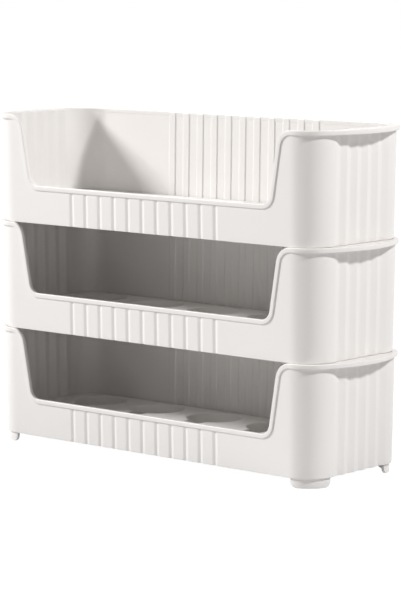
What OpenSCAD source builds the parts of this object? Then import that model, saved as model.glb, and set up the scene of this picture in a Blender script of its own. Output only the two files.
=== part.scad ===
// Stacking egg keeper for a fridge: three open-fronted bins, one on another,
// each with a lift-out tray that seats ten eggs.
// X runs along the front, Y to the back and Z up. The origin lies at the
// middle of the footprint, on the surface that the lowest feet stand on.

/* [Bins] */
// Width of a bin along its bottom edge
bin_w = 289; // [255:1:330]
// Depth of a bin along its bottom edge, front to back
bin_d = 97; // [94:1:125]
// Height from the bottom edge of a bin to its rim, where the next bin sits
tier_h = 75; // [66:1:95]
// Radius of the upright corners at the bottom edge
corner_r = 20; // [16:0.5:28]
// How far each wall leans out on its way up to the rim
lean = 1.3; // [0.8:0.1:2]
// Thickness of the walls
wall_t = 1.6; // [1.4:0.1:2.4]
// Thickness of the floor
floor_t = 2; // [1.6:0.1:3]

/* [Rim and front opening] */
// Thickness of the bead along the rim and round the opening
bead_d = 3.3; // [2.8:0.1:4]
// How far the rim bead reaches in past the face of the wall
bead_in = 0.2; // [0.1:0.1:0.6]
// How far the bead round the opening stands back behind the face of the rim bead
bead_step = 0.1; // [0.05:0.05:0.4]
// Height cut off the top of the rim bead, which gives the next bin a flat seat
seat_cut = 0.15; // [0.1:0.05:0.3]
// Height of the front band, up to the top of its bead
band_h = 26.5; // [20:0.5:34]
// Angle by which the sides of the opening lean outwards
mouth_lean = 10.2; // [5:0.1:20]
// Radius of the lower corners of the opening, to the middle of its bead
mouth_r = 9; // [6:0.5:16]
// Radius of the shoulders of the opening, to the middle of its bead
shoulder_r = 10; // [5:0.5:13]

/* [Grooves] */
// Width of a moulded groove, seen from outside
groove_w = 3; // [2:0.1:4]
// Depth of a groove, which stands in from the wall as a ridge on the inside
groove_t = 0.7; // [0.4:0.1:1]
// Number of grooves in the front, and again in the back
long_grooves = 11; // [5:2:13]
// Spacing of the grooves in the front and back
long_pitch = 13; // [9:0.5:15]
// How far the grooves of the front and back stand off the middle
long_shift = -3.5; // [-6:0.5:6]
// Number of grooves in each end wall
end_grooves = 5; // [3:2:5]
// Spacing of the grooves in the end walls
end_pitch = 10.9; // [8:0.1:13]

/* [Finger grips] */
// How far a grip stands out from the end wall at its middle
grip_out = 9.5; // [7:0.5:16]
// How much further the rim stands out at the corners, where a grip begins
grip_start = 1.5; // [1:0.1:3]
// Thickness of a grip behind its edge
grip_t = 2.8; // [2:0.1:2.9]

/* [Feet] */
// Height of the feet below the bottom edge
foot_h = 6.5; // [5:0.5:10]
// Thickness of the feet
foot_t = 2; // [1.6:0.1:3]
// Radius of the lower corners of the feet
foot_round = 4.5; // [2:0.5:6]
// Gap between the feet of a bin and the rim that they stand inside
foot_gap = 0.5; // [0.4:0.1:2]

/* [Egg trays] */
// Height of a tray's top face above the bottom edge of its bin
tray_top = 16; // [13:0.5:20]
// Thickness of the tray
tray_t = 1.6; // [1.4:0.1:2.4]
// Gap between a tray and the ridges of its bin
tray_gap = 0.8; // [0.5:0.1:2]
// Number of seats along the tray, in each of its two rows
seat_columns = 5; // [3:1:5]
// Spacing of the seats along the tray
seat_pitch = 54.5; // [50:0.5:56]
// Spacing of the two rows
row_pitch = 44.5; // [43:0.5:50]
// Diameter of a seat at the top face
seat_d = 39; // [36:0.5:41]
// Diameter of a seat at its lower edge
seat_low_d = 33; // [28:0.5:36]
// Depth of a seat below the top face
seat_h = 8; // [5:0.5:10]
// Width of the slot that joins the two seats of a column
slot_w = 14; // [8:1:20]

/* [Hidden] */
$fn = 96;
bin_colour = [0.93, 0.92, 0.90];
tray_colour = [0.95, 0.94, 0.93];

// Middle of the rim bead, above the bottom edge
bead_r = bead_d / 2;
bead_z = tier_h - bead_r + seat_cut;
band_z = band_h - bead_r;
// Slope of the walls
slope = lean / tier_h;
lean_a = atan(slope);
// Middles of the corners, and of the wall at the height of the rim bead
corner_x = bin_w / 2 - corner_r;
corner_y = bin_d / 2 - corner_r;
rim_bend = corner_r - wall_t / 2 + bead_z * slope;
rim_x = corner_x + rim_bend;
rim_y = corner_y + rim_bend;
rim_in = wall_t / 2 + bead_in;
// Opening, measured in the plane of the leaning front wall
plane_y = bin_d / 2 - wall_t / 2;
rim_v = bead_z / cos(lean_a);
band_v = band_z / cos(lean_a);
turn = 90 - mouth_lean;
shoulder_run = shoulder_r * tan(turn / 2);
mouth_run = mouth_r * tan(turn / 2);
grip_x = corner_x + grip_start;
shoulder_x = grip_x;
mouth_top_x = shoulder_x - shoulder_run;
mouth_low_x = mouth_top_x - (rim_v - band_v) * tan(mouth_lean);
mouth_c = [mouth_low_x - mouth_run, band_v + mouth_r];
shoulder_c = [shoulder_x, rim_v - shoulder_r];
// Round of a groove, and where its middle lies outside the wall
groove_r = (groove_w * groove_w / 4 + groove_t * groove_t) / (2 * groove_t);
groove_off = groove_r - groove_t;
// Grip: a wide arc that runs on from the two corner arcs of the rim
grip_tip = bin_w / 2 + bead_z * slope + grip_out - bead_r;
grip_reach = grip_tip - grip_x;
grip_bend = (grip_reach * grip_reach + corner_y * corner_y - rim_bend * rim_bend)
    / (2 * (grip_reach - rim_bend));
grip_a = atan2(corner_y, grip_bend - grip_reach);
// How far a grip reaches in past the middle of the wall, between wall and bead
grip_in = (wall_t + bead_in) / 2;
// Feet stand inside the beads of the bin below
foot_r = rim_bend - max(rim_in, bead_r - bead_step) - foot_gap;
// Tray outline, clear of the ridges inside the bin
tray_inset = wall_t + groove_t + tray_gap;
tray_x = bin_w / 2 - tray_inset;
tray_y = bin_d / 2 - tray_inset;
tray_r = corner_r - tray_inset;
// Stretch in which the rim bead and the bead round the opening overlap
join_w = 0.5;
// Cut that clears a face
over = 1;

// Mirrored copies left and right
module both_ends() {
    children();
    mirror([1, 0, 0]) children();
}

// Mirrored copies front and back
module both_sides() {
    children();
    mirror([0, 1, 0]) children();
}

// Rectangle with rounded corners, by its half sizes
module rounded_plan(x, y, r) {
    square([2 * (x - r), 2 * y], center = true);
    square([2 * x, 2 * (y - r)], center = true);
    for (i = [-1, 1], j = [-1, 1]) {
        translate([i * (x - r), j * (y - r)]) circle(r);
    }
}

// Upright prism whose two sides lean out by the slope of the walls
module leaning_prism(x, y, h) {
    rotate([90, 0, 0]) linear_extrude(2 * y, center = true) {
        polygon([[-x, 0], [x, 0], [x + h * slope, h], [-x - h * slope, h]]);
    }
}

// Rounded block that grows upwards by the slope of the walls
module leaning_block(x, y, r, h) {
    leaning_prism(x, y - r, h);
    rotate([0, 0, 90]) leaning_prism(y, x - r, h);
    for (i = [-1, 1], j = [-1, 1]) {
        translate([i * (x - r), j * (y - r), 0]) cylinder(h, r, r + h * slope);
    }
}

// Puts what is drawn flat into the plane of the leaning front wall
module on_front() {
    translate([0, -plane_y, 0]) rotate([90 + lean_a, 0, 0]) children();
}

// Row of round bars that lean with a wall, about the middle of a groove
module groove_row(count, pitch, shift, wall_y, r) {
    for (i = [0:count - 1]) {
        translate([(i - (count - 1) / 2) * pitch + shift, -wall_y - groove_off, 0]) {
            rotate([lean_a, 0, 0]) translate([0, 0, -over]) cylinder(tier_h + 2 * over, r = r);
        }
    }
}

// The grooves of all four walls; a larger r gives the ridges on the inside
module groove_bars(r) {
    both_sides() groove_row(long_grooves, long_pitch, long_shift, bin_d / 2, r);
    both_ends() rotate([0, 0, 90]) groove_row(end_grooves, end_pitch, 0, bin_w / 2, r);
}

// Floor and four walls, up to the middle of the rim bead
module walls() {
    difference() {
        leaning_block(bin_w / 2, bin_d / 2, corner_r, bead_z);
        difference() {
            translate([0, 0, floor_t]) {
                leaning_block(
                    bin_w / 2 - wall_t + floor_t * slope,
                    bin_d / 2 - wall_t + floor_t * slope,
                    corner_r - wall_t + floor_t * slope,
                    tier_h
                );
            }
            groove_bars(groove_r + wall_t);
        }
        groove_bars(groove_r);
        on_front() linear_extrude(bead_d * 2, center = true) mouth();
    }
}

// Opening in the front wall, to the middle of its bead or grown by g
module mouth(g = 0) {
    low_end = mouth_c + (mouth_r + g) * [cos(mouth_lean), -sin(mouth_lean)];
    top_end = shoulder_c + (shoulder_r - g) * [-cos(mouth_lean), sin(mouth_lean)];
    top_v = rim_v + bead_d;
    difference() {
        union() {
            polygon([
                [-shoulder_x, top_v], [-shoulder_x, rim_v - g], [-top_end.x, top_end.y],
                [-low_end.x, low_end.y], [-mouth_c.x, band_v - g], [mouth_c.x, band_v - g],
                low_end, top_end, [shoulder_x, rim_v - g], [shoulder_x, top_v]
            ]);
            for (i = [-1, 1]) {
                translate([i * mouth_c.x, mouth_c.y]) circle(mouth_r + g);
            }
        }
        for (i = [-1, 1]) {
            translate([i * shoulder_c.x, shoulder_c.y]) circle(shoulder_r - g);
        }
    }
}

// Bead round the opening
module front_bead() {
    on_front() linear_extrude(bead_d - 2 * bead_step, center = true) {
        difference() {
            mouth(bead_r);
            mouth(-bead_r);
        }
    }
}

// Bead along the back rim and round the edges of the two grips
module rim_bead() {
    translate([0, 0, bead_z - bead_r]) linear_extrude(bead_d) {
        difference() {
            union() {
                rounded_plan(rim_x + bead_r, rim_y + bead_r, rim_bend + bead_r);
                both_ends() grip_plan(bead_r);
            }
            rounded_plan(rim_x - rim_in, rim_y - rim_in, rim_bend - rim_in);
            both_ends() grip_plan(-bead_r);
            translate([join_w - grip_x, -bin_d]) square([2 * (grip_x - join_w), bin_d]);
        }
    }
}

// Plan of the grip at one end, to the middle of its bead or grown by g
module grip_plan(g = 0) {
    arc_y = corner_y + (rim_bend + g) * sin(grip_a);
    difference() {
        union() {
            intersection() {
                translate([grip_tip - grip_bend, 0]) circle(grip_bend + g);
                translate([grip_x, -arc_y]) square([grip_tip, 2 * arc_y]);
            }
            for (j = [-1, 1]) {
                translate([grip_x, j * corner_y]) circle(rim_bend + g);
            }
            translate([corner_x, -rim_y - g]) square([grip_start, 2 * (rim_y + g)]);
        }
        translate([0, -bin_d]) square([corner_x, 2 * bin_d]);
    }
}

// Plate of the grip at one end, from the wall to its bead
module grip_plate() {
    translate([0, 0, tier_h - grip_t]) linear_extrude(grip_t + over) {
        difference() {
            grip_plan();
            rounded_plan(rim_x - grip_in, rim_y - grip_in, rim_bend - grip_in);
        }
    }
}

// Quarter ring under one corner, with its lower ends rounded
module foot() {
    difference() {
        rotate_extrude(angle = 90) {
            translate([foot_r - foot_t, -foot_h]) square([foot_t, foot_h + floor_t / 2]);
        }
        for (m = [0, 1]) {
            mirror([m, -m, 0]) foot_corner();
        }
    }
}

// What the rounding takes off one lower corner of a foot
module foot_corner() {
    translate([0, 0, -foot_h]) difference() {
        translate([0, -over, -over]) cube([foot_r + over, foot_round + over, foot_round + over]);
        translate([-over, foot_round, foot_round]) rotate([0, 90, 0]) {
            cylinder(foot_r + 3 * over, r = foot_round);
        }
    }
}

// One whole bin, its bottom edge at the height zero
module bin() {
    difference() {
        union() {
            walls();
            front_bead();
            rim_bead();
            both_ends() {
                grip_plate();
                both_sides() translate([corner_x, corner_y, 0]) foot();
            }
        }
        translate([-bin_w, -bin_d, tier_h]) cube([2 * bin_w, 2 * bin_d, bead_d]);
    }
}

// Wall of one seat, a funnel open at both ends
module seat_wall() {
    top_r = seat_d / 2;
    low_r = seat_low_d / 2;
    rotate_extrude() {
        polygon([
            [low_r, -seat_h], [low_r + tray_t, -seat_h],
            [top_r + tray_t, 0], [top_r, 0]
        ]);
    }
}

// Room inside one seat, cut through the tray
module seat_room() {
    step = (seat_d - seat_low_d) / 2 / seat_h;
    translate([0, 0, -seat_h - over]) {
        cylinder(seat_h + 2 * over, seat_low_d / 2 - step * over, seat_d / 2 + step * over);
    }
}

// Copies of a seat at all ten places
module at_seats() {
    for (i = [0:seat_columns - 1], j = [-1, 1]) {
        translate([(i - (seat_columns - 1) / 2) * seat_pitch, j * row_pitch / 2, 0]) children();
    }
}

// Egg tray: a plate on a skirt, with its seats joined in pairs by slots
module tray() {
    height = tray_top - floor_t;
    difference() {
        union() {
            difference() {
                linear_extrude(height) rounded_plan(tray_x, tray_y, tray_r);
                translate([0, 0, -over]) linear_extrude(height - tray_t + over) {
                    rounded_plan(tray_x - tray_t, tray_y - tray_t, tray_r - tray_t);
                }
            }
            translate([0, 0, height]) at_seats() seat_wall();
        }
        translate([0, 0, height]) at_seats() seat_room();
        for (i = [0:seat_columns - 1]) {
            translate([(i - (seat_columns - 1) / 2) * seat_pitch, 0, height / 2]) {
                cube([slot_w, row_pitch, height + 2 * over], center = true);
            }
        }
    }
}

// Bins and trays by tier, counted from zero at the bottom
module bin_at(tier) {
    color(bin_colour) translate([0, 0, foot_h + tier * tier_h]) bin();
}

module tray_at(tier) {
    color(tray_colour) translate([0, 0, foot_h + tier * tier_h + floor_t]) tray();
}

module lower_bin() {
    bin_at(0);
}

module middle_bin() {
    bin_at(1);
}

module upper_bin() {
    bin_at(2);
}

module lower_tray() {
    tray_at(0);
}

module middle_tray() {
    tray_at(1);
}

module upper_tray() {
    tray_at(2);
}

lower_bin();
middle_bin();
upper_bin();
lower_tray();
middle_tray();
upper_tray();
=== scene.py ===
import math

import bmesh
import bpy
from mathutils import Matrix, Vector


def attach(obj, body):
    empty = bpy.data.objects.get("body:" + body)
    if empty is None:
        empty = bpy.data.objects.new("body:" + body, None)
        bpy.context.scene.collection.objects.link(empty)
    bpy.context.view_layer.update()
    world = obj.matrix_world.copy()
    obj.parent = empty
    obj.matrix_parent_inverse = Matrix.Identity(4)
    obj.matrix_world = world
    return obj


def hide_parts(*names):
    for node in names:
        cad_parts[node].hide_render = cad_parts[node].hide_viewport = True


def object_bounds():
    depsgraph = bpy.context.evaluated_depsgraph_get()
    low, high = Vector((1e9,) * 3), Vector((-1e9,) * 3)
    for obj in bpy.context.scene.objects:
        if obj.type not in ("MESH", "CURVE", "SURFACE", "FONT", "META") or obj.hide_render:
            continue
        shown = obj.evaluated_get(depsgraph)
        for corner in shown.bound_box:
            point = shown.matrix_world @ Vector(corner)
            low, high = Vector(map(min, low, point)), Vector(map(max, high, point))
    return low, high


# Stacking keeper: three moulded bins, each with a lift-out tray of ten seats.
# The sizes in the dictionaries are in millimetres, the meshes in metres.

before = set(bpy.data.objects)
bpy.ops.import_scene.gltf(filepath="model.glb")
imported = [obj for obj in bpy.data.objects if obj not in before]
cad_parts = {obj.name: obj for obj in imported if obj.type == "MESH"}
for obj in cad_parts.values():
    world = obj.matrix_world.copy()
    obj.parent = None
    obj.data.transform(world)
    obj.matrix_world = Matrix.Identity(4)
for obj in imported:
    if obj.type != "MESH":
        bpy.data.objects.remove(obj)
cadLow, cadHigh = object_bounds()
print("frame loaded:", len(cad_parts), "nodes")

mm = 0.001
tiers = ("lower", "middle", "upper")
corners = ((1, 1), (-1, 1), (-1, -1), (1, -1))  # side along X and Y, from the back right on

binSizes = {
    "width": 289.0, "depth": 97.0,    # along the bottom edge
    "height": 75.0,                   # one tier, bottom edge to rim
    "cornerRadius": 20.0,
    "lean": 1.3,                      # how far a wall leans out on its way up
    "wall": 1.6, "floor": 2.0,
    "footHeight": 6.5,
    "edgeRound": 0.4,                 # bottom edge, outside
    "innerRound": 2.5,                # foot of the wall, inside
}
openingSizes = {
    "bandHeight": 26.5, "sideLean": 10.2,
    "lowRadius": 9.0, "shoulderRadius": 10.0,
}
beadSizes = {
    "thick": 3.3, "seatCut": 0.15, "step": 0.1,
    "overhang": 0.2,                  # how far the bead reaches in past the face of the wall
    "edge": 0.6,                      # rounding of its edges
}
gripSizes = {
    "out": 9.5, "start": 1.5, "thick": 2.8,
    "below": 0.12,                    # its top face lies a little under the rim's
}

# What follows from them
halfW, halfD = binSizes["width"] / 2, binSizes["depth"] / 2
cornerX, cornerY = halfW - binSizes["cornerRadius"], halfD - binSizes["cornerRadius"]
beadR = beadSizes["thick"] / 2
beadZ = binSizes["height"] - beadR + beadSizes["seatCut"]
slope = binSizes["lean"] / binSizes["height"]
leanAngle = math.atan(slope)
planeY = halfD - binSizes["wall"] / 2
rimBend = binSizes["cornerRadius"] - binSizes["wall"] / 2 + beadZ * slope
rimY = cornerY + rimBend
rimIn = binSizes["wall"] / 2 + beadSizes["overhang"]
gripX = cornerX + gripSizes["start"]
gripTip = halfW + beadZ * slope + gripSizes["out"] - beadR
gripReach = gripTip - gripX
gripBend = (gripReach ** 2 + cornerY ** 2 - rimBend ** 2) / (2 * (gripReach - rimBend))
gripAngle = math.atan2(cornerY, gripBend - gripReach)

sideLean = math.radians(openingSizes["sideLean"])
turn = math.pi / 2 - sideLean
rimV = beadZ / math.cos(leanAngle)
bandV = (openingSizes["bandHeight"] - beadR) / math.cos(leanAngle)
lowR, shoulderR = openingSizes["lowRadius"], openingSizes["shoulderRadius"]
openTopX = gripX - shoulderR * math.tan(turn / 2)
openLowX = openTopX - (rimV - bandV) * math.tan(sideLean)
lowC = (openLowX - lowR * math.tan(turn / 2), bandV + lowR)
shoulderC = (gripX, rimV - shoulderR)
lowEnd = (lowC[0] + lowR * math.cos(sideLean), lowC[1] - lowR * math.sin(sideLean))
topEnd = (shoulderC[0] - shoulderR * math.cos(sideLean),
          shoulderC[1] + shoulderR * math.sin(sideLean))


class Shade:  # a shader socket that takes part in Python expressions
    def __init__(self, tree, socket=None):
        self.tree, self.socket = tree, socket

    def node(self, kind, settings, values, output=0):
        made = self.tree.nodes.new(kind)
        for key, value in settings.items():
            if key == "stops":
                ends = made.color_ramp.elements
                while len(ends) < len(value):
                    ends.new(0.5)
                for end, (place, tone) in zip(ends, value):
                    end.position, end.color = place, (*tone, 1.0)
            else:
                setattr(made, key, value)
        for key, value in values.items():
            if isinstance(value, Shade):
                self.tree.links.new(value.socket, made.inputs[key])
            else:
                made.inputs[key].default_value = value
        return Shade(self.tree, made.outputs[output])

    def maths(self, operation, first, second):
        return self.node("ShaderNodeMath", {"operation": operation}, {0: first, 1: second})

    def __add__(self, other):
        return self.maths("ADD", self, other)

    def __sub__(self, other):
        return self.maths("SUBTRACT", self, other)

    def __rsub__(self, other):
        return self.maths("SUBTRACT", other, self)

    def __mul__(self, other):
        return self.maths("MULTIPLY", self, other)

    __radd__ = __add__
    __rmul__ = __mul__


def emptyMaterial(name):
    material = bpy.data.materials.new(name)
    material.use_nodes = True
    material.node_tree.nodes.clear()
    return material, Shade(material.node_tree)


def endMaterial(material, surface):
    out = material.node_tree.nodes.new("ShaderNodeOutputMaterial")
    material.node_tree.links.new(surface.socket, out.inputs[0])
    return material


# Moulded plastic: even colour with a faint cloud in it, a soft gloss that varies,
# and the fine orange skin that a polished mould leaves.
def mouldedPlastic(name, look):
    material, shade = emptyMaterial(name)
    place = shade.node("ShaderNodeTexCoord", {}, {}, "Object")
    cloud = shade.node("ShaderNodeTexNoise", {},
                       {"Vector": place, "Scale": look["cloudScale"], "Detail": 2.0}, "Fac")
    skin = shade.node("ShaderNodeTexNoise", {},
                      {"Vector": place, "Scale": look["skinScale"], "Detail": 3.0,
                       "Roughness": 0.55}, "Fac")
    low, high = look["cloudRange"]
    colour = shade.node("ShaderNodeValToRGB",
                        {"stops": [(low, look["shade"]), (high, look["colour"])]},
                        {"Fac": cloud}, "Color")
    roughness = (look["roughness"] + (cloud - 0.5) * look["roughSpread"]
                 + (skin - 0.5) * look["skinSpread"])
    bump = shade.node("ShaderNodeBump", {},
                      {"Height": skin, "Strength": look["skinStrength"],
                       "Distance": look["skinDepth"] * mm}, "Normal")
    surface = shade.node("ShaderNodeBsdfPrincipled", {},
                         {"Base Color": colour, "Roughness": roughness, "Normal": bump,
                          "IOR": look["ior"]}, "BSDF")
    return endMaterial(material, surface)


binLook = {
    "colour": (0.87, 0.845, 0.825), "shade": (0.855, 0.828, 0.806),
    "cloudScale": 9.0, "cloudRange": (0.3, 0.7), "ior": 1.49,
    "roughness": 0.33, "roughSpread": 0.08, "skinSpread": 0.04,
    "skinScale": 700.0, "skinStrength": 0.12, "skinDepth": 0.06,
}
trayLook = {
    "colour": (0.88, 0.87, 0.85), "shade": (0.86, 0.848, 0.828),
    "cloudScale": 12.0, "cloudRange": (0.3, 0.7), "ior": 1.49,
    "roughness": 0.48, "roughSpread": 0.08, "skinSpread": 0.04,
    "skinScale": 1100.0, "skinStrength": 0.2, "skinDepth": 0.08,
}
binPlastic = mouldedPlastic("satin white bin plastic", binLook)
trayPlastic = mouldedPlastic("matt white tray plastic", trayLook)
print("materials ready")


def newObject(name, mesh):
    made = bpy.data.objects.new(name, mesh)
    bpy.context.scene.collection.objects.link(made)
    return made


# Rings of points, each as long as the next, joined by quads
def loft(bm, rings, closed=True):
    layers = [[bm.verts.new([v * mm for v in p]) for p in ring] for ring in rings]
    for low, high in zip(layers, layers[1:]):
        count = len(low)
        for i in range(count if closed else count - 1):
            j = (i + 1) % count
            bm.faces.new((low[i], low[j], high[j], high[i]))
    return layers


def smoothMesh(bm, name):
    bmesh.ops.recalc_face_normals(bm, faces=bm.faces)
    for face in bm.faces:
        face.smooth = True
    mesh = bpy.data.meshes.new(name)
    bm.to_mesh(mesh)
    bm.free()
    return mesh


# Bin walls: columns round the outline, each a profile from the bottom edge over the rim
# and down to the floor inside. A groove of a long wall is a broad ridge inside, and the
# end walls are pleated right through. The back row is the front one turned half round.
longGrooves = {
    "count": 11, "pitch": 13.0, "width": 4.2, "depth": 0.7, "curve": 1.5,
    "shift": 3.5,                     # off the middle, to the left seen from outside
    "ridgeWidth": 7.0, "ridgeHeight": 0.6, "ridgeEdge": 1.2,
}
endGrooves = {"count": 5, "pitch": 10.9, "width": 10.9, "depth": 1.4, "curve": 1.15, "shift": 0.0}
grooveEdges = {
    "crease": 0.5,                    # rounding at the bottom of a groove
    "guard": 0.25,                    # plain strip that keeps the shading of the flat even
}
wallSteps = {
    "groove": 16, "ridge": 6, "corner": 24, "opening": 40,
    "round": 6, "height": 9, "rim": 8,
    "widest": 5.0, "closest": 0.01,   # between two columns of a flat wall
    "ringIn": 0.5, "ringFar": 2.5,    # plain rings of the floor beside its roundings
}


def openingTop(x):  # height of the wall under the bead of the opening
    x = abs(x)
    if x <= lowC[0]:
        return bandV
    if x <= lowEnd[0]:
        return lowC[1] - math.sqrt(max(0.0, lowR ** 2 - (x - lowC[0]) ** 2))
    if x <= topEnd[0]:
        share = (x - lowEnd[0]) / (topEnd[0] - lowEnd[0])
        return lowEnd[1] + share * (topEnd[1] - lowEnd[1])
    return shoulderC[1] + math.sqrt(max(0.0, shoulderR ** 2 - (x - shoulderC[0]) ** 2))


def offMiddle(along, row):  # distance to the middle of the nearest groove
    last = row["count"] - 1
    nearest = min(max(round((along - row["shift"]) / row["pitch"] + last / 2), 0), last)
    return abs(along - row["shift"] - (nearest - last / 2) * row["pitch"])


def grooveShape(along, row):  # depth of the groove outside
    crease = grooveEdges["crease"]
    soft = math.hypot(offMiddle(along, row), crease) - crease
    return row["depth"] * max(0.0, 1 - soft / (row["width"] / 2)) ** row["curve"]


def ridgeShape(along, row):  # height of the ridge inside
    if "ridgeWidth" not in row:
        return grooveShape(along, row)
    share = (row["ridgeWidth"] / 2 - offMiddle(along, row)) / row["ridgeEdge"]
    share = min(max(share, 0.0), 1.0)
    return row["ridgeHeight"] * share * share * (3 - 2 * share)


def straightStops(half, row, more=()):  # places of the columns along a flat wall
    found = {-half, half, *more}
    reach, guard = row["width"] / 2, grooveEdges["guard"]
    grooveCount, ridgeCount = wallSteps["groove"], wallSteps["ridge"]
    for i in range(row["count"]):
        middle = (i - (row["count"] - 1) / 2) * row["pitch"] + row["shift"]
        found |= {middle + (2 * k / grooveCount - 1) * reach for k in range(grooveCount + 1)}
        found |= {middle - reach - guard, middle + reach + guard}
        if "ridgeWidth" in row:
            edge = row["ridgeWidth"] / 2 + guard
            for k in range(ridgeCount + 1):
                off = edge - (row["ridgeEdge"] + 2 * guard) * k / ridgeCount
                found |= {middle - off, middle + off}
    stops = sorted(round(v, 4) for v in found if abs(v) <= half)
    filled = [stops[0]]
    for stop in stops[1:]:
        gap = stop - filled[-1]
        if gap < wallSteps["closest"]:
            continue
        extra = int(gap // wallSteps["widest"])
        for k in range(extra):
            filled.append(filled[-1] + gap / (extra + 1))
        filled.append(stop)
    return filled


def wallColumns():
    columns = []  # x, y, outward x, outward y, groove, ridge, top, under the opening
    high, radius = binSizes["height"], binSizes["cornerRadius"]
    steps, turns = wallSteps["opening"], wallSteps["corner"]
    openStops = [lowC[0] + (gripX - lowC[0]) * k / steps for k in range(steps + 1)]
    openStops = [x for x in openStops if x < cornerX - wallSteps["closest"]]
    front = dict(longGrooves, shift=-longGrooves["shift"])
    frontStops = straightStops(cornerX, front, openStops + [-x for x in openStops])
    backStops = straightStops(cornerX, longGrooves)
    endStops = straightStops(cornerY, endGrooves)

    def corner(centreX, centreY, start):
        for k in range(1, turns):
            angle = math.radians(start + 90 * k / turns)
            x, y = centreX + radius * math.cos(angle), centreY + radius * math.sin(angle)
            under = centreY < 0 and abs(x) < gripX
            columns.append((x, y, math.cos(angle), math.sin(angle), 0.0, 0.0,
                            openingTop(x) if under else high, under))

    def end(side, stops):
        for y in stops:
            dip = grooveShape(y, endGrooves)
            columns.append((side * halfW, y, side, 0, dip, dip, high, False))

    columns += [(x, -halfD, 0, -1, grooveShape(x, front), ridgeShape(x, front),
                 openingTop(x), True) for x in frontStops]
    corner(cornerX, -cornerY, -90)
    end(1, endStops)
    corner(cornerX, cornerY, 0)
    columns += [(x, halfD, 0, 1, grooveShape(x, longGrooves), ridgeShape(x, longGrooves),
                 high, False) for x in reversed(backStops)]
    corner(-cornerX, cornerY, 90)
    end(-1, reversed(endStops))
    corner(-cornerX, -cornerY, 180)
    return columns


def wallProfile(groove, ridge, top, under):  # distance outwards and height of each point
    wall, floor = binSizes["wall"], binSizes["floor"]
    outer, inner = binSizes["edgeRound"], binSizes["innerRound"]
    near, far = wallSteps["ringIn"], wallSteps["ringFar"]
    turns, rises, bends = wallSteps["round"], wallSteps["height"], wallSteps["rim"]
    points = [(-outer - far, 0.0), (-outer - near - groove, 0.0)]
    for k in range(turns + 1):
        angle = math.pi / 2 * k / turns
        z = outer * (1 - math.cos(angle))
        points.append((slope * z - groove - outer * (1 - math.sin(angle)), z))
    rimR = wall / 2
    shoulder = top if under else top - rimR
    guard = shoulder - grooveEdges["guard"]
    for z in [outer + (guard - outer) * k / rises for k in range(1, rises + 1)]:
        points.append((slope * z - groove, z))
    outside, inside = slope * shoulder - groove, slope * shoulder - wall - ridge
    for k in range(bends + 1):
        angle = math.pi * k / bends
        z = shoulder + (0 if under else rimR * math.sin(angle))
        points.append(((outside + inside + (outside - inside) * math.cos(angle)) / 2, z))
    low = floor + inner
    for z in [guard - (guard - low) * k / rises for k in range(rises)]:
        points.append((slope * z - wall - ridge, z))
    for k in range(turns + 1):
        angle = math.pi / 2 * k / turns
        z = low - inner * math.sin(angle)
        points.append((slope * z - wall - ridge - inner * (1 - math.cos(angle)), z))
    points += [(-wall - inner - near - ridge, floor), (-wall - inner - far, floor)]
    return points


def wallMesh():
    bm = bmesh.new()
    columns = wallColumns()
    profiles = [wallProfile(*column[4:]) for column in columns]
    rings = []
    for k in range(len(profiles[0])):
        ring = []
        for (x, y, nx, ny, *_), profile in zip(columns, profiles):
            off, z = profile[k]
            ring.append((x + nx * off, y + ny * off, z))
        rings.append(ring)
    layers = loft(bm, rings)
    bm.faces.new(layers[0])
    bm.faces.new(layers[-1])
    return smoothMesh(bm, "bin walls")


# Bead: one closed line along the back rim, round both grips and round the opening,
# swept with a square section whose edges are rounded, by Geometry Nodes.
beadSteps = {"back": 8, "bend": 22, "grip": 64, "arc": 20, "side": 6, "band": 8, "edge": 5}


def arcPoints(centre, radius, start, stop, steps):
    angles = [start + (stop - start) * k / steps for k in range(steps + 1)]
    return [(centre[0] + radius * math.cos(a), centre[1] + radius * math.sin(a), a)
            for a in angles]


def rimLine():  # from the middle of the back to the right shoulder, with normals
    back, bend, grip = beadSteps["back"], beadSteps["bend"], beadSteps["grip"]
    line = [((gripX * k / back, rimY, beadZ), (0, 1, 0)) for k in range(back)]
    arcs = arcPoints((gripX, cornerY), rimBend, math.pi / 2, gripAngle, bend)
    arcs += arcPoints((gripTip - gripBend, 0), gripBend, gripAngle, -gripAngle, grip)[1:]
    arcs += arcPoints((gripX, -cornerY), rimBend, -gripAngle, -math.pi / 2, bend)[1:]
    return line + [((x, y, beadZ), (math.cos(a), math.sin(a), 0)) for x, y, a in arcs]


def frontLine():  # from the right shoulder down to the middle of the band
    arc, side, band = beadSteps["arc"], beadSteps["side"], beadSteps["band"]
    flat = [(x, v) for x, v, _ in arcPoints(shoulderC, shoulderR, math.pi / 2,
                                           math.pi - sideLean, arc)[1:]]
    flat += [(topEnd[0] + (lowEnd[0] - topEnd[0]) * k / side,
              topEnd[1] + (lowEnd[1] - topEnd[1]) * k / side) for k in range(1, side)]
    flat += [(x, v) for x, v, _ in arcPoints(lowC, lowR, -sideLean, -math.pi / 2, arc)]
    flat += [(lowC[0] * (1 - k / band), bandV) for k in range(1, band + 1)]
    normal = (0, -math.cos(leanAngle), -math.sin(leanAngle))
    return [((x, -planeY - v * math.sin(leanAngle), v * math.cos(leanAngle)), normal)
            for x, v in flat]


def beadLine():
    right = rimLine() + frontLine()
    left = [((-p[0], p[1], p[2]), (-n[0], n[1], n[2])) for p, n in reversed(right[1:-1])]
    return right + left


def setInput(modifier, tree, name, value):
    for item in tree.interface.items_tree:
        if item.item_type == "SOCKET" and item.in_out == "INPUT" and item.name == name:
            modifier[item.identifier] = value


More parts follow.
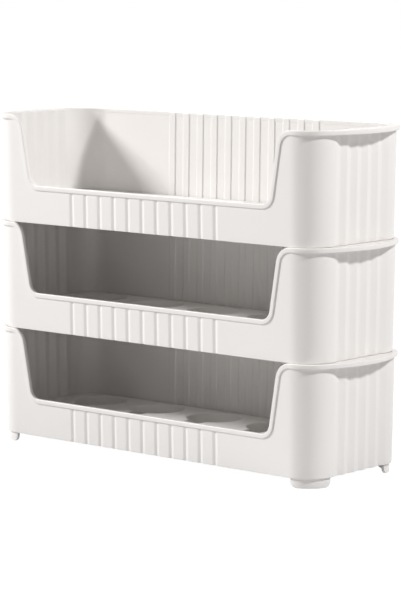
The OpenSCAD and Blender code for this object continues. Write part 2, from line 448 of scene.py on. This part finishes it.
def newTree(name, inputs):
    tree = bpy.data.node_groups.new(name, "GeometryNodeTree")
    tree.interface.new_socket("Geometry", in_out="INPUT", socket_type="NodeSocketGeometry")
    for label, kind in inputs:
        tree.interface.new_socket(label, in_out="INPUT", socket_type="NodeSocket" + kind)
    tree.interface.new_socket("Geometry", in_out="OUTPUT", socket_type="NodeSocketGeometry")
    start = tree.nodes.new("NodeGroupInput")
    return tree, start


def treeNode(tree, kind, settings, values):
    made = tree.nodes.new(kind)
    for key, value in settings.items():
        setattr(made, key, value)
    for key, value in values.items():
        if isinstance(value, bpy.types.NodeSocket):
            tree.links.new(value, made.inputs[key])
        else:
            made.inputs[key].default_value = value
    return made


def endTree(tree, geometry, material):
    whole = treeNode(tree, "GeometryNodeRealizeInstances", {}, {0: geometry})
    painted = treeNode(tree, "GeometryNodeSetMaterial", {},
                       {"Geometry": whole.outputs[0], "Material": material})
    out = tree.nodes.new("NodeGroupOutput")
    tree.links.new(painted.outputs[0], out.inputs[0])


# Runs a tree on a mesh and gives back the result as a plain mesh
def grown(name, mesh, tree, values):
    carrier = newObject(name, mesh)
    modifier = carrier.modifiers.new("grow", "NODES")
    modifier.node_group = tree
    for key, value in values.items():
        setInput(modifier, tree, key, value)
    graph = bpy.context.evaluated_depsgraph_get()
    result = bpy.data.meshes.new_from_object(carrier.evaluated_get(graph), depsgraph=graph)
    carrier.modifiers.clear()
    bpy.data.objects.remove(carrier)
    return result


def beadTree():
    tree, start = newTree("bead along a line", [
        ("Width", "Float"), ("Height", "Float"), ("Edge", "Float"), ("Edge steps", "Int"),
        ("Shift", "Float"), ("Top", "Float"), ("Material", "Material")])
    size = start.outputs
    line = treeNode(tree, "GeometryNodeMeshToCurve", {}, {0: size["Geometry"]})
    outward = treeNode(tree, "GeometryNodeInputNamedAttribute", {"data_type": "FLOAT_VECTOR"},
                       {"Name": "outward"})
    turned = treeNode(tree, "GeometryNodeSetCurveNormal", {"mode": "FREE"},
                      {"Curve": line.outputs[0], "Normal": outward.outputs["Attribute"]})
    ring = treeNode(tree, "GeometryNodeCurvePrimitiveQuadrilateral", {"mode": "RECTANGLE"},
                    {"Width": size["Width"], "Height": size["Height"]})
    rounded = treeNode(tree, "GeometryNodeFilletCurve", {"mode": "POLY"},
                        {"Curve": ring.outputs[0], "Count": size["Edge steps"],
                        "Radius": size["Edge"]})
    shift = treeNode(tree, "ShaderNodeCombineXYZ", {}, {"X": size["Shift"]})
    section = treeNode(tree, "GeometryNodeTransform", {},
                       {"Geometry": rounded.outputs[0], "Translation": shift.outputs[0]})
    tube = treeNode(tree, "GeometryNodeCurveToMesh", {},
                    {"Curve": turned.outputs[0], "Profile Curve": section.outputs[0]})
    place = treeNode(tree, "GeometryNodeInputPosition", {}, {})
    parts = treeNode(tree, "ShaderNodeSeparateXYZ", {}, {0: place.outputs[0]})
    lower = treeNode(tree, "ShaderNodeMath", {"operation": "MINIMUM"},
                     {0: parts.outputs["Z"], 1: size["Top"]})
    capped = treeNode(tree, "ShaderNodeCombineXYZ", {},
                      {"X": parts.outputs["X"], "Y": parts.outputs["Y"], "Z": lower.outputs[0]})
    flat = treeNode(tree, "GeometryNodeSetPosition", {},
                    {"Geometry": tube.outputs[0], "Position": capped.outputs[0]})
    smooth = treeNode(tree, "GeometryNodeSetShadeSmooth", {}, {0: flat.outputs[0]})
    endTree(tree, smooth.outputs[0], size["Material"])
    return tree


def beadMesh():
    line = beadLine()
    mesh = bpy.data.meshes.new("bead line")
    count = len(line)
    mesh.from_pydata([[v * mm for v in p] for p, _ in line],
                     [(i, (i + 1) % count) for i in range(count)], [])
    outward = mesh.attributes.new("outward", "FLOAT_VECTOR", "POINT")
    for i, (_, normal) in enumerate(line):
        outward.data[i].vector = normal
    reach = (beadR + rimIn) / 2
    return grown("bead", mesh, beadTree(), {
        "Width": 2 * reach * mm, "Height": 2 * beadR * mm,
        "Edge": beadSizes["edge"] * mm, "Edge steps": beadSteps["edge"],
        "Shift": (beadR - reach) * mm, "Top": binSizes["height"] * mm, "Material": binPlastic})


# Grip plates between the end walls and the bead
def gripMesh():
    bm = bmesh.new()
    top, low = binSizes["height"] - gripSizes["below"], binSizes["height"] - gripSizes["thick"]
    edge = [place for place, _ in rimLine()[beadSteps["back"] + 1:]]
    for side in (1, -1):
        rings = []
        for z in (top, low):
            outer, inner = [], []
            for x, y, _ in edge:
                wallY = max(-rimY, min(rimY, y))
                bend = max(0.0, abs(wallY) - cornerY)
                wallX = cornerX + math.sqrt(max(0.0, rimBend ** 2 - bend ** 2))
                outer.append((side * x, y, z))
                inner.append((side * wallX, wallY, z))
            rings.append((outer, inner))
        (topOut, topIn), (lowOut, lowIn) = rings
        layers = loft(bm, [topIn, topOut, lowOut, lowIn, topIn], closed=False)
        bm.faces.new([layer[0] for layer in layers[:4]])
        bm.faces.new([layer[-1] for layer in layers[:4]])
    bmesh.ops.remove_doubles(bm, verts=bm.verts, dist=0.00001)
    bmesh.ops.recalc_face_normals(bm, faces=bm.faces)
    mesh = bpy.data.meshes.new("grips")
    bm.to_mesh(mesh)
    bm.free()
    return mesh


# Feet: a quarter ring with rounded lower corners, set under the four corners
footSizes = {
    "thick": 2.0, "endRound": 4.5, "gap": 0.5, "steps": 36,
    "edge": 0.45, "edgeSteps": 3, "edgeAngle": 40,
}


def footMesh():
    bm = bmesh.new()
    radius = rimBend - max(rimIn, beadR - beadSizes["step"]) - footSizes["gap"]
    inner = radius - footSizes["thick"]
    height, bend = binSizes["footHeight"], footSizes["endRound"]
    slices = []
    steps = footSizes["steps"]
    for k in range(steps + 1):
        share = (1 - math.cos(math.pi * k / steps)) / 2  # closer together at the two ends
        angle = math.pi / 2 * share
        away = radius * min(angle, math.pi / 2 - angle)
        rise = bend - math.sqrt(max(0.0, bend ** 2 - max(0.0, bend - away) ** 2))
        low, high = -height + rise, binSizes["floor"] / 2
        slices.append([(r * math.cos(angle), r * math.sin(angle), z)
                       for r, z in ((inner, low), (radius, low), (radius, high), (inner, high))])
    layers = loft(bm, slices)
    bm.faces.new(layers[0])
    bm.faces.new(layers[-1])
    mesh = smoothMesh(bm, "foot")
    carrier = newObject("foot", mesh)
    rounding = carrier.modifiers.new("edges", "BEVEL")
    rounding.width, rounding.segments = footSizes["edge"] * mm, footSizes["edgeSteps"]
    rounding.limit_method = "ANGLE"
    rounding.angle_limit = math.radians(footSizes["edgeAngle"])
    graph = bpy.context.evaluated_depsgraph_get()
    result = bpy.data.meshes.new_from_object(carrier.evaluated_get(graph), depsgraph=graph)
    bpy.data.objects.remove(carrier)
    return result


def cornerTree():  # copies of one foot at the four corners of a rectangle
    tree, start = newTree("copies at four corners", [
        ("Corner X", "Float"), ("Corner Y", "Float"), ("Material", "Material")])
    size = start.outputs
    whole = treeNode(tree, "GeometryNodeJoinGeometry", {}, {})
    for quarter, (sideX, sideY) in enumerate(corners):
        x = treeNode(tree, "ShaderNodeMath", {"operation": "MULTIPLY"},
                     {0: size["Corner X"], 1: float(sideX)})
        y = treeNode(tree, "ShaderNodeMath", {"operation": "MULTIPLY"},
                     {0: size["Corner Y"], 1: float(sideY)})
        place = treeNode(tree, "ShaderNodeCombineXYZ", {}, {"X": x.outputs[0], "Y": y.outputs[0]})
        copy = treeNode(tree, "GeometryNodeTransform", {},
                        {"Geometry": size["Geometry"], "Translation": place.outputs[0],
                         "Rotation": (0.0, 0.0, quarter * math.pi / 2)})
        tree.links.new(copy.outputs[0], whole.inputs[0])
    endTree(tree, whole.outputs[0], size["Material"])
    return tree


def feetMesh():
    return grown("feet", footMesh(), cornerTree(), {
        "Corner X": cornerX * mm, "Corner Y": cornerY * mm, "Material": binPlastic})


# Tray: a plate on a skirt, with five figure-eight seats that have rolled lips
traySizes = {
    "top": 16.0, "thick": 1.6, "inset": 3.1, "edge": 1.5,
    "columns": 5, "pitch": 54.5, "rowPitch": 44.5,
    "seatTop": 39.0, "seatLow": 33.0, "seatDepth": 8.0, "slot": 14.0, "lip": 0.8,
    "skirtEdge": 0.3, "seatEdge": 0.4,
    "plain": 0.6,                     # ring of flat plate next to a rounding
    "cornerSteps": 12, "seatSteps": 44, "edgeSteps": 6, "lipSteps": 5,
}


def roundedOutline(inset, z):
    points = []
    radius = binSizes["cornerRadius"] - traySizes["inset"] - inset
    for quarter, (sideX, sideY) in enumerate(corners):
        for k in range(traySizes["cornerSteps"] + 1):
            angle = math.pi / 2 * (quarter + k / traySizes["cornerSteps"])
            points.append((sideX * cornerX + radius * math.cos(angle),
                           sideY * cornerY + radius * math.sin(angle), z))
    return points


def seatOutline(x, radius, half, z):
    reach = math.sqrt(radius ** 2 - half ** 2)
    middle = traySizes["rowPitch"] / 2
    start = math.atan2(reach, half)
    steps = traySizes["seatSteps"]
    points = []
    for k in range(steps + 1):  # front seat, from the right of the slot round to its left
        angle = start - (math.pi + 2 * start) * k / steps
        points.append((x + radius * math.cos(angle), -middle + radius * math.sin(angle), z))
    back = [(2 * x - frontX, -frontY, z) for frontX, frontY, _ in points]
    return points + back


def skirtRings(height):  # from the plate's top over its edge, down the skirt and up inside
    thick, edge, bend = traySizes["thick"], traySizes["edge"], traySizes["skirtEdge"]
    steps = traySizes["edgeSteps"]
    under = height - thick
    rings = [roundedOutline(edge + traySizes["plain"], height)]
    for k in range(steps + 1):
        angle = math.pi / 2 * k / steps
        rings.append(roundedOutline(edge * (1 - math.sin(angle)),
                                    height - edge * (1 - math.cos(angle))))
    return rings + [
        roundedOutline(0, bend), roundedOutline(bend, 0), roundedOutline(thick - bend, 0),
        roundedOutline(thick, bend), roundedOutline(thick, under - bend),
        roundedOutline(thick + bend, under)]


def seatRings(x, height):  # from the plate's top over the lip, down the cone and up outside
    thick, lip, bend = traySizes["thick"], traySizes["lip"], traySizes["seatEdge"]
    topR, lowRad, half = traySizes["seatTop"] / 2, traySizes["seatLow"] / 2, traySizes["slot"] / 2
    cone = (topR - lowRad) / traySizes["seatDepth"]
    bottom, under = height - traySizes["seatDepth"], height - thick
    plain, steps = lip + traySizes["plain"], traySizes["lipSteps"]
    rings = [seatOutline(x, topR + plain, half + plain, height)]
    for k in range(steps + 1):
        angle = math.pi / 2 * k / steps
        out, down = lip * (1 - math.sin(angle)), lip * (1 - math.cos(angle))
        rings.append(seatOutline(x, topR + out - cone * down, half + out, height - down))
    return rings + [
        seatOutline(x, lowRad + cone * bend, half, bottom + bend),
        seatOutline(x, lowRad + bend, half + bend, bottom),
        seatOutline(x, lowRad + thick - bend, half + thick - bend, bottom),
        seatOutline(x, lowRad + thick + cone * bend, half + thick, bottom + bend),
        seatOutline(x, topR + thick - cone * (thick + bend), half + thick, under - bend),
        seatOutline(x, topR + thick - cone * thick + bend, half + thick + bend, under)]


def trayMesh():
    bm = bmesh.new()
    height = traySizes["top"] - binSizes["floor"]
    lofts = [loft(bm, skirtRings(height))]
    for i in range(traySizes["columns"]):
        x = (i - (traySizes["columns"] - 1) / 2) * traySizes["pitch"]
        lofts.append(loft(bm, seatRings(x, height)))
    for end in (0, -1):  # the plate's top, then its underside
        edges = []
        for layers in lofts:
            ring = layers[end]
            for i, vert in enumerate(ring):
                edges.append(bm.edges.get((vert, ring[(i + 1) % len(ring)])))
        bmesh.ops.triangle_fill(bm, use_beauty=True, edges=edges)
    return smoothMesh(bm, "tray")


def joined(name, meshes, material):
    bm = bmesh.new()
    for mesh in meshes:
        bm.from_mesh(mesh)
    mesh = bpy.data.meshes.new(name)
    bm.to_mesh(mesh)
    bm.free()
    mesh.materials.clear()
    mesh.materials.append(material)
    for polygon in mesh.polygons:
        polygon.material_index = 0
    return mesh


binParts = [wallMesh(), beadMesh(), gripMesh(), feetMesh()]
for part in binParts:
    print("bin part", part.name, len(part.polygons), "faces")
oneBin = joined("one bin", binParts, binPlastic)
oneTray = joined("one tray", [trayMesh()], trayPlastic)
print("tray", len(oneTray.polygons), "faces")

for tier, name in enumerate(tiers):
    base = (binSizes["footHeight"] + tier * binSizes["height"]) * mm
    for mesh, kind, rise, slot in ((oneBin, "bin", 0.0, "bin_plastic"),
                                   (oneTray, "tray", binSizes["floor"] * mm, "tray_plastic")):
        own = mesh.copy()
        for vert in own.vertices:
            vert.co.z += base + rise
        piece = newObject(name + kind.capitalize(), own)
        node = name + "_" + kind
        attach(piece, node)
        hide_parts(node)
print("bins and trays in place")


# Stage: a pale floor that shows white to the camera and in gloss, with a soft shadow
stageLook = {
    "half": 6.0,                      # in metres
    "plain": 0.6, "glow": 1.16,
    "glowShare": 0.85,                # the rest shows the plain floor with its shadow
}
worldLook = {"colour": (1, 0.985, 0.97), "soft": 0.23, "white": 1.0}


def seenWhite(shade):  # 1 for what the camera sees, itself or in gloss
    return shade.maths("MAXIMUM",
                       shade.node("ShaderNodeLightPath", {}, {}, "Is Camera Ray"),
                       shade.node("ShaderNodeLightPath", {}, {}, "Is Glossy Ray"))


def whiteStage():
    material, shade = emptyMaterial("white stage")
    grey = (*[stageLook["plain"]] * 3, 1)
    plain = shade.node("ShaderNodeBsdfDiffuse", {}, {"Color": grey}, "BSDF")
    glow = shade.node("ShaderNodeEmission", {},
                      {"Color": (1, 1, 1, 1), "Strength": stageLook["glow"]}, "Emission")
    mixed = shade.node("ShaderNodeMixShader", {},
                       {0: seenWhite(shade) * stageLook["glowShare"], 1: plain, 2: glow}, "Shader")
    return endMaterial(material, mixed)


half = stageLook["half"]
floorMesh = bpy.data.meshes.new("floor")
floorMesh.from_pydata([(x * half, y * half, 0) for x, y in corners], [], [(0, 1, 2, 3)])
floorMesh.materials.append(whiteStage())
newObject("floor", floorMesh)

world = bpy.data.worlds.new("studio")
bpy.context.scene.world = world
world.use_nodes = True
world.node_tree.nodes.clear()
sky = Shade(world.node_tree)
soft = sky.node("ShaderNodeBackground", {},
                {"Color": (*worldLook["colour"], 1), "Strength": worldLook["soft"]}, "Background")
white = sky.node("ShaderNodeBackground", {},
                 {"Color": (1, 1, 1, 1), "Strength": worldLook["white"]}, "Background")
both = sky.node("ShaderNodeMixShader", {}, {0: seenWhite(sky), 1: soft, 2: white}, "Shader")
worldEnd = world.node_tree.nodes.new("ShaderNodeOutputWorld")
world.node_tree.links.new(both.socket, worldEnd.inputs[0])

# Lamps: azimuth is measured from the front, towards the right, as seen from above;
# distance and size are in metres.
lamps = [
    {"name": "left front", "azimuth": -50, "rise": 32, "away": 3.6, "size": 1.0, "watts": 121},
    {"name": "right end", "azimuth": 104, "rise": 40, "away": 2.2, "size": 0.22, "watts": 31},
]
middle = (cadLow + cadHigh) / 2
for lamp in lamps:
    azimuth, rise = math.radians(lamp["azimuth"]), math.radians(lamp["rise"])
    away = Vector((math.sin(azimuth) * math.cos(rise), -math.cos(azimuth) * math.cos(rise),
                   math.sin(rise)))
    disk = bpy.data.lights.new(lamp["name"], "AREA")
    disk.shape, disk.size, disk.energy = "DISK", lamp["size"], lamp["watts"]
    light = bpy.data.objects.new(lamp["name"], disk)
    bpy.context.scene.collection.objects.link(light)
    light.location = middle + away * lamp["away"]
    light.rotation_mode = "QUATERNION"
    light.rotation_quaternion = (-away).to_track_quat("-Z", "Y")

# Camera at the photograph's angle: away is its distance along the ground, x moves it to
# the right and z is its height; focal is in pixels of the photograph.
view = {
    "azimuth": 41.13, "tilt": 7.5, "away": 1810.2, "x": 6.36, "z": 345.6,
    "focal": 2667.6, "pictureHeight": 601, "sensor": 36,
    "clip": (0.1, 50),                # in metres
}
azimuth, tilt = math.radians(view["azimuth"]), math.radians(view["tilt"])
lens = bpy.data.cameras.new("camera")
lens.sensor_width = view["sensor"]
lens.lens = view["focal"] * view["sensor"] / view["pictureHeight"]
lens.clip_start, lens.clip_end = view["clip"]
camera = bpy.data.objects.new("camera", lens)
bpy.context.scene.collection.objects.link(camera)
camera.location = (mm * (view["x"] + view["away"] * math.sin(azimuth)),
                   -mm * view["away"] * math.cos(azimuth), mm * view["z"])
look = Vector((-math.sin(azimuth) * math.cos(tilt), math.cos(azimuth) * math.cos(tilt),
               -math.sin(tilt)))
camera.rotation_mode = "QUATERNION"
camera.rotation_quaternion = look.to_track_quat("-Z", "Y")
bpy.context.scene.camera = camera
bpy.context.scene.view_settings.view_transform = "Standard"
print("stage, lamps and camera ready")
